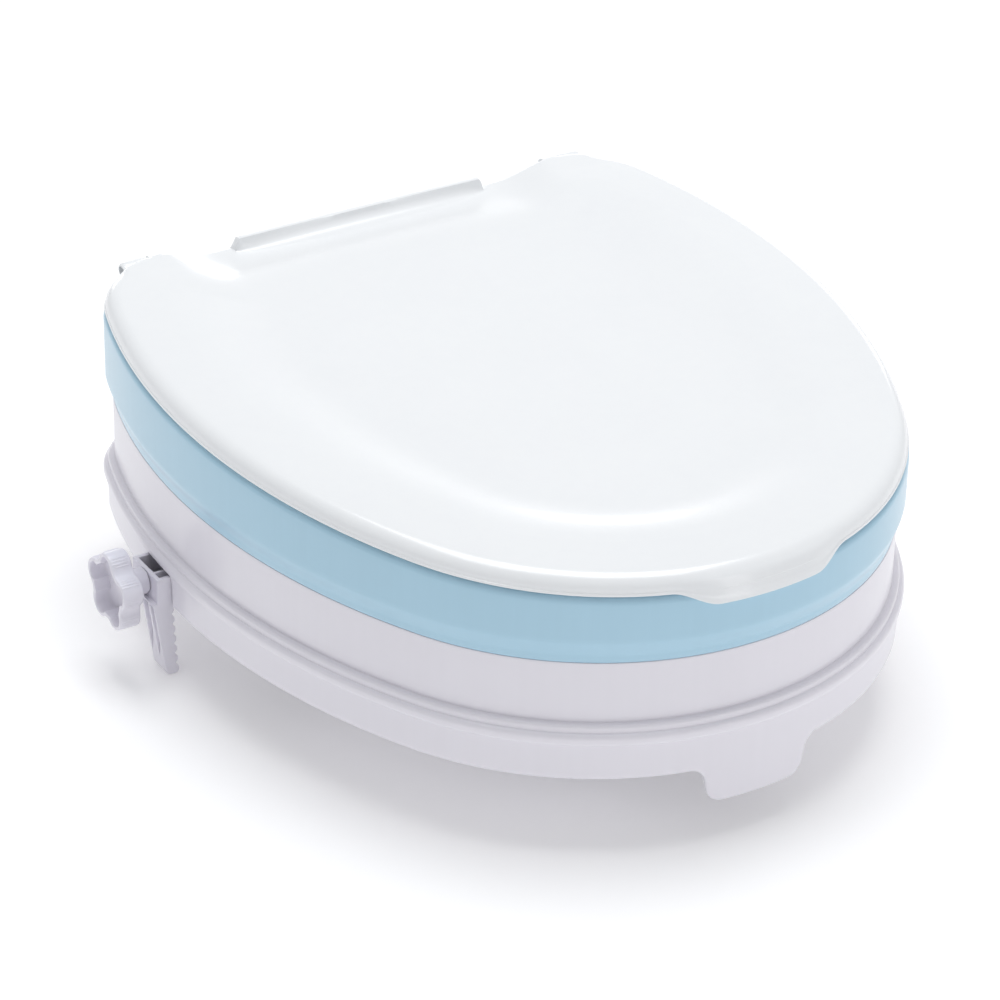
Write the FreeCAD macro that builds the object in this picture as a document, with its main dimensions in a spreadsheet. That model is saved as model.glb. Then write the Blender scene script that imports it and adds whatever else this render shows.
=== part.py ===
import FreeCAD, Part
import Sketcher
import math
import os
import re

# Raised toilet seat: a hollow riser that stands on a toilet bowl, with a blue seat ring, a hinged lid
# and a screw-driven clamp jaw at each side. Millimetres, +Z up, front towards -Y, clamps at -X and +X.
# The underside of the jaws is at zero height, and the middle of the whole object is at the origin.

SIZES = [
    # plan outline of the seat: six tangent arcs
    ("half_width", 185, "half of the width over the seat ring"),
    ("plan_depth", 406, "front to back over the lid's outline"),
    ("front_radius", 162, "arc round the front"),
    ("side_radius", 367, "long arc down each side"),
    ("corner_radius", 47, "arc at each rear corner"),
    ("back_radius", 1265, "slightly bowed back edge"),
    ("plan_shift", 0.35, "moves the outline so that the whole object is centred"),
    # aperture: four tangent arcs
    ("hole_half_width", 105, "half of the aperture's width"),
    ("hole_front", 125, "from the outline's middle to the aperture's front"),
    ("hole_front_radius", 80, "arc at the aperture's front"),
    ("hole_side_radius", 230, "arc at each side of the aperture"),
    ("hole_rear_radius", 104.8, "arc at the aperture's rear"),
    # heights above the underside of the jaws
    ("lug_bottom", 21, "underside of the front lug"),
    ("skirt_bottom", 41.5, "lower edge of the skirt"),
    ("rib_bottom", 60.7, "lower edge of the rib"),
    ("rib_height", 7, "height of the rib"),
    ("bead_height", 4, "height of the bead on the rib"),
    ("rib_slope", -0.0025, "rise of the rib per millimetre towards the back"),
    ("parting", 106.1, "joint between riser and seat ring"),
    ("parting_slope", 0.002, "rise of that joint towards the back"),
    ("seat_top", 150.8, "top of the seat ring at its middle"),
    ("seat_slope", 0.0395, "rise of the seat towards the back"),
    ("lid_gap", 1, "gap between seat ring and lid"),
    ("lid_height", 10, "height of the lid's shell"),
    # offsets from the plan outline
    ("ring_grow", 0.6, "seat ring"),
    ("wall_grow", -3, "riser wall"),
    ("skirt_grow", 1, "skirt and lug"),
    ("rib_grow", 3.3, "rib"),
    ("bead_grow", 0.6, "bead on the rib"),
    ("wall", 3, "moulded wall thickness"),
    ("ring_taper", 14, "height over which the seat ring tapers into the riser wall"),
    # front lug
    ("lug_half_top", 31, "half width where the lug leaves the skirt"),
    ("lug_half_bottom", 27, "half width at the lug's foot"),
    ("lug_radius", 9, "rounding of the lug"),
    # lid
    ("lid_skin", 5.5, "lid thickness above its hollow"),
    ("lid_rim_radius", 7, "rounding of the lid's rim"),
    ("dish_radius", 1700, "sphere that sinks the lid's middle"),
    ("dish_back", -10, "middle of the dish behind the outline's middle"),
    ("dish_sink", 2.5, "depth of the dish"),
    ("lip_half_width", 51, "half width of the finger lip"),
    ("lip_drop", 5, "how far the lip hangs below the lid's edge"),
    ("lip_grow", 4, "how far the lip stands out from the outline"),
    ("upstand_half_width", 77, "half width of the rear upstand"),
    ("upstand_rise", 7.5, "top of the upstand above the lid's lower edge"),
    ("upstand_front", 189, "front of the upstand behind the outline's middle"),
    ("trough_radius", 14, "hollow in front of the upstand"),
    ("trough_back", 181, "middle of that hollow behind the outline's middle"),
    ("strip_height", 2.2, "thickness of the lid along its rear edge"),
    # hinge
    ("hinge_back", 195, "hinge axis behind the outline's middle"),
    ("hinge_rise", 5.5, "hinge axis above the seat ring"),
    ("knuckle_radius", 5, "lid knuckle"),
    ("knuckle_inner", 127.4, "inner end of the lid knuckle from the middle"),
    ("knuckle_length", 15.6, "length of the lid knuckle"),
    ("post_inner", 119, "inner side of the hinge post from the middle"),
    ("post_width", 7.8, "width of the hinge post"),
    ("post_radius", 4.4, "rounded top of the hinge post"),
    ("foot_width", 21.8, "width of the hinge post's foot"),
    ("foot_depth", 19, "how far the foot reaches forward of the hinge axis"),
    ("foot_height", 2.3, "thickness of the foot"),
    ("foot_sink", 0.6, "top of the foot below the seat ring's surface at the hinge axis"),
    ("pin_radius", 2.5, "hinge pin"),
    ("running_gap", 0.05, "radial clearance of a turning fit"),
    ("gap", 0.4, "clearance between sliding pieces"),
    # clamp
    ("clamp_back", 74.2, "clamp's middle behind the outline's middle"),
    ("jaw_reach", 193.6, "outer wall of the jaw from the middle"),
    ("jaw_half_width", 14, "half width of the jaw's arm"),
    ("jaw_length", 56, "length of the jaw's arm"),
    ("jaw_bottom", 44.5, "underside of the jaw's arm"),
    ("jaw_top", 58.8, "top of the jaw's arm"),
    ("jaw_wall", 2.5, "wall of the jaw's arm"),
    ("jaw_floor", 2, "floor of the jaw's arm"),
    ("rib_length", 14, "how far in the rib across the arm's hollow reaches"),
    ("rib_place", -6.6, "front side of that rib, from the arm's middle"),
    ("jaw_rib", 1.5, "thickness of that rib"),
    ("tab_bottom", 51, "underside of the guide tabs"),
    ("tab_height", 2.5, "height of the guide tabs"),
    ("tab_width", 2, "how far the tabs stand out"),
    ("tab_start", 18, "first millimetre of the arm that carries tabs"),
    ("leg_width", 14.5, "width of the toothed leg"),
    ("leg_top", 11.4, "leg thickness at its top"),
    ("leg_foot", 7.3, "leg thickness at its foot"),
    ("leg_step", 2.4, "how far the top of the leg stands out from the arm"),
    ("leg_lean", 6.6, "how far the leg's outer face leans inward at its foot"),
    ("tooth_pitch", 6, "distance between teeth"),
    ("tooth_depth", 1.5, "depth of a tooth"),
    ("tooth_width", 4, "width of a notch between two teeth"),
    ("tooth_count", 6, "number of notches between teeth"),
    ("groove_depth", 3, "depth of the grooves in the leg's outer side"),
    ("screw_height", 52.3, "clamp screw axis"),
    ("screw_radius", 3, "clamp screw"),
    ("guide_outer", 170, "outer end of the guide from the middle"),
    ("guide_inner", 128, "inner end of the guide from the middle"),
    ("nut_outer", 164, "outer face of the nut's block from the middle"),
    ("nut_block", 10, "length of the nut's block"),
    ("nut_flats", 10, "nut across its flats"),
    ("nut_height", 5, "nut"),
    ("plate_height", 3, "base plate"),
    ("plate_drop", 0.2, "underside of the base plate above the skirt's lower edge"),
    ("pad_height", 4, "rubber rest pads"),
    ("pad_inset", 26, "outer edge of the rest pads inside the outline"),
    ("pad_width", 14, "width of a rest pad"),
    ("pad_half_length", 24, "half length of a rest pad"),
    # screws
    ("boss_radius", 5.5, "screw boss in the riser"),
    ("ring_boss_radius", 5, "screw boss in the seat ring"),
    ("hinge_boss_radius", 4.5, "screw boss under a hinge post"),
    ("pilot_radius", 2, "pilot hole of the plate and ring screws"),
    ("small_pilot_radius", 1.8, "pilot hole of the guide and hinge screws"),
    ("clear_radius", 2.35, "clearance hole of a screw"),
    ("screw_play", 0.05, "a screw's shank is this much thinner than its pilot hole"),
    ("head_height", 2, "pan head"),
    ("sink_depth", 1.8, "countersunk head"),
    # knob
    ("knob_radius", 21.5, "knob over its lobes"),
    ("lobe_radius", 8, "each lobe"),
    ("knob_core", 18.2, "knob between its lobes"),
    ("valley_radius", 7.3, "hollow between two lobes"),
    ("valley_reach", 24, "from the knob's axis to the middle of that hollow"),
    ("knob_face", 216, "knob's outer face from the middle"),
    ("knob_depth", 12, "depth of the knob's head"),
    ("knob_floor", 3, "thickness of the cup's floor"),
    ("knob_wall", 2.2, "thickness of the cup's rim"),
    ("hub_radius", 7.25, "hub behind the knob"),
    ("lobe_count", 5, "lobes of the knob"),
]
size = {alias: value for alias, value, note in SIZES}

REACH = 300          # half length of the tools that trim or cut right through

doc = FreeCAD.newDocument("RaisedToiletSeat")
sheet = doc.addObject("Spreadsheet::Sheet", "Sizes")
for row, (alias, value, note) in enumerate(SIZES, start=1):
    sheet.set(f"A{row}", note)
    sheet.set(f"B{row}", str(value))
    sheet.setAlias(f"B{row}", alias)
doc.recompute()

LEVEL = FreeCAD.Rotation()
FACING_SIDE = FreeCAD.Rotation(FreeCAD.Vector(1, 1, 1), 120)    # sketch x, y lie along Y, Z
FACING_FRONT = FreeCAD.Rotation(FreeCAD.Vector(1, 0, 0), 90)    # sketch x, y lie along X, Z
sub_parts = {}


def sized(expression):
    """Point each size named in an expression at its cell of the sheet."""
    return re.sub(r"[a-z][a-z_]+", lambda m: "Sizes." + m[0] if m[0] in size else m[0], str(expression))


def bind(thing, **expressions):
    for name, expression in expressions.items():
        thing.setExpression(name.replace("__", "."), sized(expression))
    return thing


def move(thing, x="0", y="0", z="0"):
    return bind(thing, Placement__Base__x=x, Placement__Base__y=y, Placement__Base__z=z)


# ---- sketches -------------------------------------------------------------------------------------

def fix_point(sketch, curve, end, x, y, guess):
    """Hold one point of a curve at two signed distances from the sketch's origin."""
    for kind, expression, start in (("DistanceX", x, guess[0]), ("DistanceY", y, guess[1])):
        number = sketch.addConstraint(Sketcher.Constraint(kind, -1, 1, curve, end, start))
        sketch.setExpression(f"Constraints[{number}]", sized(expression))


def polygon(sketch, points):
    """A closed polygon whose corners are given as pairs of expressions."""
    count = len(points)
    ring = [(math.cos(math.tau * k / count), math.sin(math.tau * k / count)) for k in range(count)]
    for k in range(count):
        ends = [FreeCAD.Vector(*ring[k], 0), FreeCAD.Vector(*ring[(k + 1) % count], 0)]
        sketch.addGeometry(Part.LineSegment(*ends), False)
    for k in range(count):
        sketch.addConstraint(Sketcher.Constraint("Coincident", k, 2, (k + 1) % count, 1))
    for k, (x, y) in enumerate(points):
        fix_point(sketch, k, 1, x, y, ring[k])
    return sketch


def circle(sketch, radius, x="0", y="0"):
    curve = sketch.addGeometry(Part.Circle(FreeCAD.Vector(1, 1, 0), FreeCAD.Vector(0, 0, 1), 1), False)
    fix_point(sketch, curve, 3, x, y, (1, 1))
    number = sketch.addConstraint(Sketcher.Constraint("Radius", curve, 1))
    sketch.setExpression(f"Constraints[{number}]", sized(radius))
    return sketch


def arc_loop(sketch, centres, radii, grow):
    """Tangent arcs, counter-clockwise. centres are guesses and radii (expression, value)."""
    count = len(centres)
    joints = []
    for k in range(count):
        here, after = centres[k], centres[(k + 1) % count]
        smaller, larger = (after, here) if radii[k][1] > radii[(k + 1) % count][1] else (here, after)
        joints.append(math.atan2(smaller[1] - larger[1], smaller[0] - larger[0]))
    for k in range(count):
        first, last = joints[k - 1], joints[k]
        while last < first:
            last += math.tau
        round_arc = Part.Circle(FreeCAD.Vector(*centres[k], 0), FreeCAD.Vector(0, 0, 1), radii[k][1])
        sketch.addGeometry(Part.ArcOfCircle(round_arc, first, last), False)
    for k in range(count):
        sketch.addConstraint(Sketcher.Constraint("Tangent", k, 2, (k + 1) % count, 1))
        if radii[k][0]:
            number = sketch.addConstraint(Sketcher.Constraint("Radius", k, radii[k][1]))
            sketch.setExpression(f"Constraints[{number}]", sized(f"{radii[k][0]} + {grow}"))
    return sketch


def hold_centre(sketch, curve, direction, expression, guess):
    number = sketch.addConstraint(Sketcher.Constraint(direction, -1, 1, curve, 3, guess))
    sketch.setExpression(f"Constraints[{number}]", sized(expression))


def tangent_centre(first, reach_first, second, reach_second):
    """The point at two given distances from two centres, on the right-hand side."""
    (ax, ay), (bx, by) = first, second
    span = math.hypot(bx - ax, by - ay)
    along = (reach_first ** 2 - reach_second ** 2 + span ** 2) / (2 * span)
    across = math.sqrt(reach_first ** 2 - along ** 2)
    options = [(ax + (along * (bx - ax) - turn * across * (by - ay)) / span,
                ay + (along * (by - ay) + turn * across * (bx - ax)) / span) for turn in (1, -1)]
    return max(options)


def plan_outline(sketch, grow):
    """The seat's outline: front, right side, right corner, back, left corner, left side."""
    front = (0, size["front_radius"] - size["plan_depth"] / 2)
    inward = size["side_radius"] - size["half_width"]
    side_y = front[1] + math.sqrt((size["side_radius"] - size["front_radius"]) ** 2 - inward ** 2)
    back = (0, size["plan_depth"] / 2 - size["back_radius"])
    corner = tangent_centre((-inward, side_y), size["side_radius"] - size["corner_radius"],
                            back, size["back_radius"] - size["corner_radius"])
    centres = [front, (-inward, side_y), corner, back, (-corner[0], corner[1]), (inward, side_y)]
    names = ["front_radius", "side_radius", "corner_radius", "back_radius", "corner_radius", "side_radius"]
    arc_loop(sketch, centres, [(name, size[name]) for name in names], grow)
    hold_centre(sketch, 0, "DistanceX", "0", 0)
    hold_centre(sketch, 0, "DistanceY", "front_radius - plan_depth / 2", front[1])
    hold_centre(sketch, 1, "DistanceX", "half_width - side_radius", -inward)
    hold_centre(sketch, 5, "DistanceX", "side_radius - half_width", inward)
    hold_centre(sketch, 3, "DistanceX", "0", 0)
    hold_centre(sketch, 3, "DistanceY", "plan_depth / 2 - back_radius", back[1])
    return sketch


def aperture_outline(sketch, grow):
    """The aperture's outline: front, right side, rear, left side."""
    front = (0, size["hole_front_radius"] - size["hole_front"])
    inward = size["hole_side_radius"] - size["hole_half_width"]
    side_y = front[1] + math.sqrt((size["hole_side_radius"] - size["hole_front_radius"]) ** 2 - inward ** 2)
    rear_reach = size["hole_side_radius"] - size["hole_rear_radius"]
    rear = (0, side_y + math.sqrt(max(rear_reach ** 2 - inward ** 2, 0)))
    names = ["hole_front_radius", "hole_side_radius", "hole_rear_radius", "hole_side_radius"]
    arc_loop(sketch, [front, (-inward, side_y), rear, (inward, side_y)],
             [(name, size[name]) for name in names], grow)
    hold_centre(sketch, 0, "DistanceX", "0", 0)
    hold_centre(sketch, 0, "DistanceY", "hole_front_radius - hole_front", front[1])
    hold_centre(sketch, 1, "DistanceX", "hole_half_width - hole_side_radius", -inward)
    hold_centre(sketch, 3, "DistanceX", "hole_side_radius - hole_half_width", inward)
    return sketch


# ---- solids ---------------------------------------------------------------------------------------

def new_sketch(rotation=LEVEL):
    sketch = doc.addObject("Sketcher::SketchObject", "Profile")
    sketch.Placement = FreeCAD.Placement(FreeCAD.Vector(), rotation)
    return sketch


def extrude(sketch, length, symmetric=False):
    solid = doc.addObject("Part::Extrusion", "Extrusion")
    solid.Base = sketch
    solid.DirMode = "Normal"
    solid.Solid = True
    solid.Symmetric = symmetric
    return bind(solid, LengthFwd=length)


def prism(draw, grow, low, high):
    """A level prism of a plan outline between two heights."""
    sketch = draw(new_sketch(), grow)
    move(sketch, z=low)
    return extrude(sketch, f"({high}) - ({low})")


def cut(base, *tools):
    result = doc.addObject("Part::Cut", "Cut")
    result.Base = base
    result.Tool = fuse(*tools) if len(tools) > 1 else tools[0]
    return result


def fuse(*pieces):
    result = doc.addObject("Part::MultiFuse", "Fusion")
    result.Shapes = list(pieces)
    result.Refine = True
    return result


def common(first, second):
    result = doc.addObject("Part::Common", "Common")
    result.Base, result.Tool = first, second
    return result


def layer(draw, grow, low, high):
    """A prism of a plan outline between two planes, each (height, slope towards the back)."""
    (low_z, low_slope), (high_z, high_slope) = low, high
    points = [(f"-{REACH}", f"{low_z} - {REACH} * {low_slope}"),
              (f"{REACH}", f"{low_z} + {REACH} * {low_slope}"),
              (f"{REACH}", f"{high_z} + {REACH} * {high_slope}"),
              (f"-{REACH}", f"{high_z} - {REACH} * {high_slope}")]
    wedge = extrude(polygon(new_sketch(FACING_SIDE), points), 2 * REACH, symmetric=True)
    return common(prism(draw, grow, f"{low_z} - 20", f"{high_z} + 20"), wedge)


def box(x, y, z, length, width, height):
    return move(bind(doc.addObject("Part::Box", "Box"), Length=length, Width=width, Height=height), x, y, z)


def cylinder(radius, height, x="0", y="0", z="0", rotation=LEVEL):
    solid = bind(doc.addObject("Part::Cylinder", "Cylinder"), Radius=radius, Height=height)
    solid.Placement = FreeCAD.Placement(FreeCAD.Vector(), rotation)
    return move(solid, x, y, z)


ALONG_X = FreeCAD.Rotation(FreeCAD.Vector(0, 1, 0), 90)


def rod(radius, x_low, x_high, y, z):
    """A cylinder along X."""
    return cylinder(radius, f"({x_high}) - ({x_low})", x_low, y, z, ALONG_X)


def mirrored(source):
    result = doc.addObject("Part::Mirroring", "Mirror")
    result.Source = source
    result.Normal = FreeCAD.Vector(1, 0, 0)
    return result


def rounded(base, radius, chosen):
    """Round every edge of a solid whose middle passes the test."""
    doc.recompute()
    result = doc.addObject("Part::Fillet", "Fillet")
    result.Base = base
    numbers = [number for number, edge in enumerate(base.Shape.Edges, start=1)
               if chosen(edge.valueAt((edge.FirstParameter + edge.LastParameter) / 2))]
    if not numbers:
        raise RuntimeError("no edge to round on " + base.Name)
    result.Edges = [(number, radius, radius) for number in numbers]
    return result


def pair(name, build):
    """The same sub-part at the left (-X) and, mirrored, at the right."""
    left = build()
    keep(name + "_left", left)
    keep(name + "_right", mirrored(left))


def keep(name, solid):
    solid.Label = name
    sub_parts[name] = solid


def at_spots(spots, build):
    """One solid at each (x, y) of the left half and its mirror image at the right."""
    left = [build(x, y) for x, y in spots]
    return left + [mirrored(solid) for solid in left]


# ---- shared places --------------------------------------------------------------------------------

PLATE_SCREWS = [("-40", "-165"), ("-121", "-95"), ("-128", "20"), ("-92", "160")]
RING_SCREWS = [("-75", "-140"), ("-143", "-30"), ("-120", "140")]
HINGE_Z = "seat_top + hinge_back * seat_slope + hinge_rise"
HINGE_SCREWS = [("-(post_inner - 10)", "hinge_back - 13"), ("-(post_inner + 2)", "hinge_back - 13")]
GUIDE_SCREWS = [(x, y) for x in ("-(guide_inner + 8)", "-(guide_outer - 8)")
                for y in ("clamp_back - 23.5", "clamp_back + 23.5")]
BUFFERS = [("-95", "-130"), ("-140", "90")]
HINGE_FOOT_TOP = "(seat_top + hinge_back * seat_slope - foot_sink)"
HINGE_LID_LOW = "(seat_top + lid_gap + hinge_back * seat_slope)"
PLATE_LOW = "skirt_bottom + plate_drop"
PLATE_TOP = "skirt_bottom + plate_drop + plate_height"
SEAT = ("seat_top", "seat_slope")
PARTING = ("parting", "parting_slope")


# ---- riser ----------------------------------------------------------------------------------------

def build_riser_body():
    wall = layer(plan_outline, "wall_grow", ("rib_bottom", "rib_slope"), PARTING)
    skirt = layer(plan_outline, "skirt_grow", ("skirt_bottom", "0"), ("rib_bottom + 1", "rib_slope"))
    rib_top = "rib_bottom + rib_height"
    rib = layer(plan_outline, "rib_grow", ("rib_bottom", "rib_slope"), (rib_top, "rib_slope"))
    rib = rounded(rib, 0.42 * size["rib_height"], lambda p: True)
    bead_low, bead_top = rib_top + " - 1", rib_top + " + bead_height"
    bead = layer(plan_outline, "bead_grow", (bead_low, "rib_slope"), (bead_top, "rib_slope"))
    top = size["rib_bottom"] + size["rib_height"] + size["bead_height"] - 2
    bead = rounded(bead, 2, lambda p: p.z > top + size["rib_slope"] * p.y)
    lug_top, brim = "skirt_bottom + 1", "(lug_half_top + 3 * lug_radius)"
    lug_shape = [("-" + brim, lug_top), ("-" + brim, "skirt_bottom"), ("-lug_half_top", "skirt_bottom"),
                 ("-lug_half_bottom", "lug_bottom"), ("lug_half_bottom", "lug_bottom"),
                 ("lug_half_top", "skirt_bottom"), (brim, "skirt_bottom"), (brim, lug_top)]
    lug_profile = extrude(polygon(new_sketch(FACING_FRONT), lug_shape), REACH)
    lug_corners = (size["lug_half_top"], size["lug_half_bottom"])
    lug_profile = rounded(lug_profile, size["lug_radius"],
                          lambda p: p.y < -1 and min(abs(abs(p.x) - corner) for corner in lug_corners) < 0.1)
    lug = common(prism(plan_outline, "skirt_grow", "lug_bottom - 1", lug_top), lug_profile)
    inner = "wall_grow - wall"
    cavity = layer(plan_outline, inner, ("lug_bottom - 5", "0"), ("parting - wall", "parting_slope"))
    skirt_room = prism(plan_outline, "skirt_grow - wall", "lug_bottom - 5", "rib_bottom - 1")
    height = f"parting - ({PLATE_TOP})"
    bosses = at_spots(PLATE_SCREWS, lambda x, y: cylinder("boss_radius", height, x, y, PLATE_TOP))
    pilots = at_spots(PLATE_SCREWS, lambda x, y: cylinder("pilot_radius", "18", x, y, PLATE_TOP))
    ring_holes = at_spots(RING_SCREWS, lambda x, y: cylinder("clear_radius", "20", x, y, "parting - 12"))
    hole = prism(aperture_outline, "wall + 0.6", "0", "parting + 20")
    notch_half = "(jaw_half_width + 2 * gap)"
    notch = box("-half_width - 20", f"clamp_back - {notch_half}", "0", "32", f"2 * {notch_half}",
                "rib_bottom + gap")
    shell = cut(fuse(wall, skirt, rib, bead, lug), cavity, skirt_room)
    return cut(fuse(shell, *bosses), *pilots, *ring_holes, hole, notch, mirrored(notch))


def build_seat_ring():
    low = new_sketch()
    plan_outline(low, "wall_grow")
    move(low, z="parting")
    high = new_sketch()
    plan_outline(high, "ring_grow")
    move(high, z="parting + ring_taper")
    taper = doc.addObject("Part::Loft", "Loft")
    taper.Sections = [low, high]
    taper.Solid = True
    taper.Ruled = True
    trimmed = cut(taper, layer(plan_outline, "20", ("parting - 30", "parting_slope"), PARTING))
    foot = layer(plan_outline, "wall_grow", PARTING, ("parting + 3", "parting_slope"))
    upper = layer(plan_outline, "ring_grow", ("parting + ring_taper", "0"), SEAT)
    upper = rounded(upper, 4, lambda p: p.z > size["seat_top"] - 20)
    body = fuse(trimmed, foot, upper)
    inner_room = layer(plan_outline, "wall_grow - wall - 1", ("parting - 20", "0"),
                       ("seat_top - wall - 1", "seat_slope"))
    inner_room = cut(inner_room, prism(aperture_outline, "wall + 1", "0", "seat_top + 30"))
    flange_room = layer(aperture_outline, "16", ("parting - 20", "0"), ("parting + wall", "parting_slope"))
    hole = prism(aperture_outline, "0", "0", "seat_top + 30")
    shell = cut(body, inner_room, flange_room, hole)
    shell = rounded(shell, 3, lambda p: p.z > size["seat_top"] - 6 + size["seat_slope"] * p.y
                    and abs(p.x) < size["hole_half_width"] + 1
                    and -size["hole_front"] - 1 < p.y < size["hole_front"] + 12)
    bosses = at_spots(RING_SCREWS, lambda x, y: cylinder(
        "ring_boss_radius", f"seat_top + ({y}) * seat_slope - parting - wall - 1", x, y, "parting + wall"))
    pilots = at_spots(RING_SCREWS, lambda x, y: cylinder("pilot_radius", "20", x, y, "parting"))
    hinge_bosses = at_spots(HINGE_SCREWS, lambda x, y: cylinder(
        "hinge_boss_radius", "16", x, y, "seat_top - 11"))
    hinge_pilots = at_spots(HINGE_SCREWS, lambda x, y: cylinder(
        "small_pilot_radius", "20", x, y, "seat_top - 8"))
    recess = box("-(post_inner + post_width + 0.3)", "hinge_back - foot_depth - 0.3",
                 HINGE_FOOT_TOP + " - foot_height - 0.3", "foot_width + 0.6", "foot_depth + 10", "20")
    return cut(fuse(shell, *bosses, *hinge_bosses), *pilots, *hinge_pilots, recess, mirrored(recess))


def build_splash_collar():
    """A sleeve that lines the aperture down into the bowl and hangs by a flange under the ring."""
    top = ("parting + 2.5", "parting_slope")
    sleeve = layer(aperture_outline, "wall", ("lug_bottom + 1", "0"), top)
    flange = layer(aperture_outline, "15", PARTING, top)
    return cut(fuse(sleeve, flange), prism(aperture_outline, "0", "0", "parting + 20"))


def build_base_plate():
    plate = prism(plan_outline, "skirt_grow - wall - gap", PLATE_LOW, PLATE_TOP)
    hole = prism(aperture_outline, "wall + 0.6", "0", "100")
    slot_half = "jaw_half_width + 1.2"
    slot = box("-half_width - 10", f"clamp_back - ({slot_half})", "0", "77", f"2 * ({slot_half})", "100")
    screw_holes = at_spots(PLATE_SCREWS + GUIDE_SCREWS, lambda x, y: cylinder(
        "clear_radius", "20", x, y, "skirt_bottom - 5"))
    return cut(plate, hole, slot, mirrored(slot), *screw_holes)


def build_rest_pads():
    """Rubber pads under the base plate, on which the riser bears on the bowl's rim."""
    low = PLATE_LOW + " - pad_height"
    band = cut(prism(plan_outline, "-pad_inset", low, PLATE_LOW),
               prism(plan_outline, "-(pad_inset + pad_width)", low, PLATE_LOW))
    front = box("-pad_half_length", "-plan_depth / 2", low, "2 * pad_half_length", "60", "pad_height")
    rear = box("-pad_half_length", "plan_depth / 2 - 60", low, "2 * pad_half_length", "60", "pad_height")
    side = box("-half_width", "-12", low, "70", "2 * pad_half_length", "pad_height")
    return common(band, fuse(front, rear, side, mirrored(side)))


def screws(spots, seat, head_radius, pilot, length):
    """Pan-head screws driven upwards: the head hangs below the seat, the shank stands above it."""
    def one(x, y):
        head = cylinder(head_radius, "head_height", x, y, f"({seat}) - head_height")
        shank = cylinder(f"{pilot} - screw_play", length, x, y, f"({seat}) - 0.2")
        return fuse(rounded(head, 0.8, lambda p: p.z < head.Shape.BoundBox.ZMin + 0.1), shank)
    return at_spots(spots, one)


def group(solids):
    result = doc.addObject("Part::Compound", "Group")
    result.Links = solids
    return result


# ---- clamps (the left-hand one is drawn) ----------------------------------------------------------

def build_jaw_guide():
    """An inverted channel over the jaw's arm, with a groove for its tabs and a block for the nut."""
    inner, outer = "(jaw_half_width + gap)", "(jaw_half_width + 5)"
    groove = "(jaw_half_width + tab_width + gap)"
    foot, foot_top, low = "(jaw_half_width + 14)", PLATE_TOP + " + 5", PLATE_TOP
    roof, top = "(jaw_top + gap)", "(jaw_top + gap + 2.6)"
    groove_low, groove_high = "(tab_bottom - gap)", "(tab_bottom + tab_height + gap)"
    half = [(inner, low), (foot, low), (foot, foot_top), (outer, foot_top), (outer, top)]
    inside = [(inner, roof), (inner, groove_high), (groove, groove_high), (groove, groove_low),
              (inner, groove_low)]
    points = half + [("-" + y, z) for y, z in reversed(half)]
    points += [("-" + y, z) for y, z in reversed(inside)] + inside
    sketch = polygon(new_sketch(FACING_SIDE), points)
    move(sketch, x="-guide_outer", y="clamp_back")
    channel = extrude(sketch, "guide_outer - guide_inner")
    block = box("-nut_outer", "clamp_back - 8.5", "jaw_bottom + jaw_floor + gap", "nut_block", "17",
                "jaw_top - jaw_bottom - jaw_floor")
    nut_room = nut_prism("nut_flats + 0.1", "-nut_outer - 1", "nut_height + 1.05")
    bore = rod("screw_radius + 0.4", "-nut_outer - 2", "-nut_outer + nut_block + 2",
               "clamp_back", "screw_height")
    holes = [cylinder("small_pilot_radius", "4.4", x, y, PLATE_TOP) for x, y in GUIDE_SCREWS]
    return cut(fuse(channel, block), nut_room, bore, *holes)


def nut_prism(flats, x, length):
    """A hexagon along X, with two flats level."""
    corner, half = f"({flats}) / sqrt(3)", f"({flats}) / 2"
    points = [(corner, "0"), (f"{corner} / 2", half), (f"-{corner} / 2", half),
              ("-" + corner, "0"), (f"-{corner} / 2", "-" + half), (f"{corner} / 2", "-" + half)]
    sketch = polygon(new_sketch(FACING_SIDE), points)
    move(sketch, x=x, y="clamp_back", z="screw_height")
    return extrude(sketch, length)


def build_clamp_nut():
    return cut(nut_prism("nut_flats", "-nut_outer", "nut_height"),
               rod("screw_radius + running_gap", "-nut_outer - 1", "-nut_outer + nut_height + 1",
                   "clamp_back", "screw_height"))


def body_plane(body, role):
    return next(plane for plane in body.Origin.OriginFeatures if plane.Role == role)


def body_sketch(body, role, offset="0"):
    """A sketch on one of the body's own planes, moved along the plane's normal."""
    sketch = body.newObject("Sketcher::SketchObject", "Profile")
    sketch.AttachmentSupport = [(body_plane(body, role), "")]
    sketch.MapMode = "FlatFace"
    return bind(sketch, AttachmentOffset__Base__z=offset)


def feature(body, kind, sketch, length, **options):
    """A Pad or Pocket of a sketch."""
    result = body.newObject("PartDesign::" + kind, kind)
    result.Profile = sketch
    bind(result, Length=length)
    for name, setting in options.items():
        setattr(result, name, setting)
    sketch.Visibility = False
    doc.recompute()
    return result


def rectangle(x_low, x_high, y_low, y_high):
    return [(x_low, y_low), (x_high, y_low), (x_high, y_high), (x_low, y_high)]


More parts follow.
